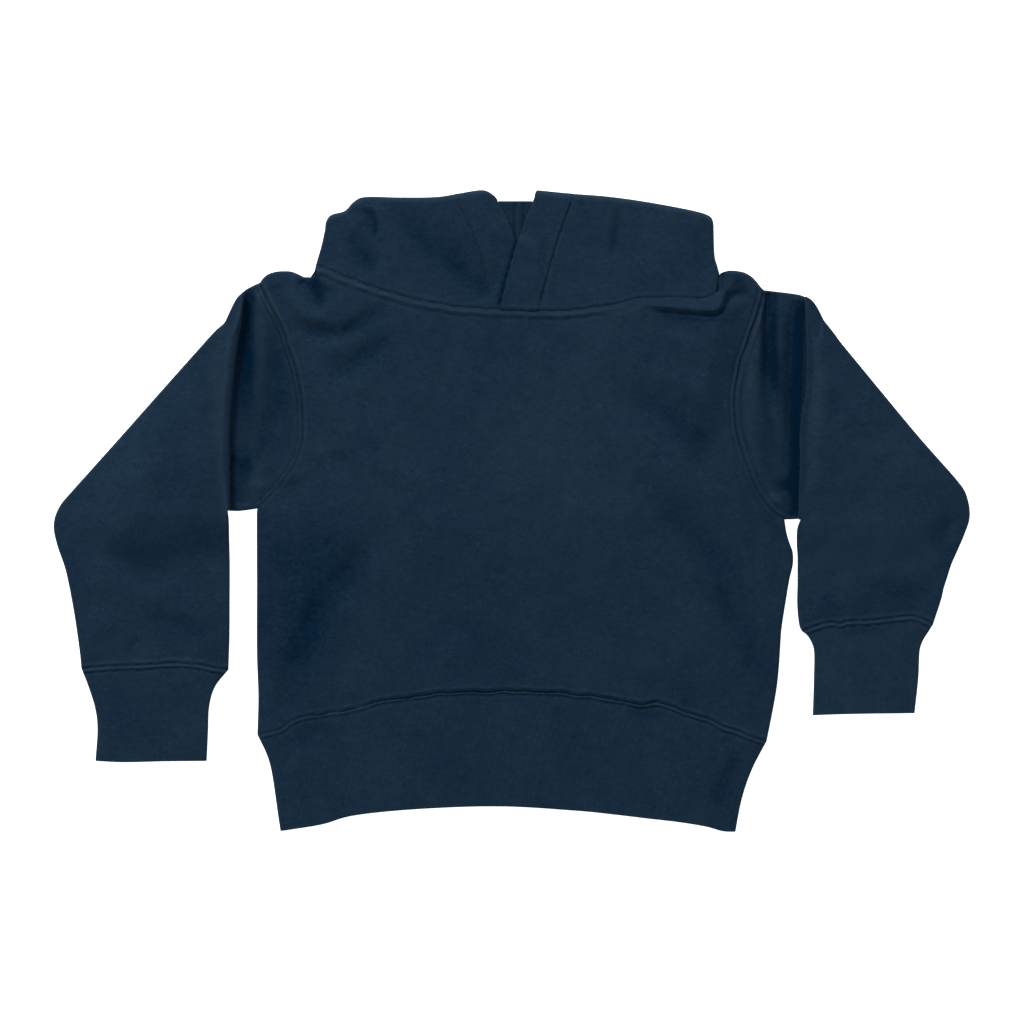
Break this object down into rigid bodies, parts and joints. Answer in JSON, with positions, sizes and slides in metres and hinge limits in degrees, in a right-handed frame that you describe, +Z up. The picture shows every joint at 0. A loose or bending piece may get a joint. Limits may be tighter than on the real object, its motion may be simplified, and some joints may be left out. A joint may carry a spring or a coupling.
{
  "type": "toddler hoodie",
  "caption": "Toddler's plain pullover fleece hoodie laid flat on its back, sleeves folded in at the shoulders and hood turned down behind.",
  "frame": {"origin": "centre of the garment's bounding box in plan, on the surface that it lies on", "axes": "+X to the right as the front is seen, +Y from the hem to the hood, +Z up from the surface"},
  "size_m": [0.5856, 0.4106, 0.0163],
  "materials": {
    "fleece": "matte brushed sweatshirt fleece, navy",
    "rib": "matte fine rib knit, navy"
  },
  "bodies": {
    "root": {"Front": "fleece", "Back": "fleece", "Sleeve_left": "fleece", "Sleeve_right": "fleece", "Hood_left": "fleece", "Hood_right": "fleece", "Cuff_left": "rib", "Cuff_right": "rib", "Waistband": "rib"}
  },
  "joints": []
}
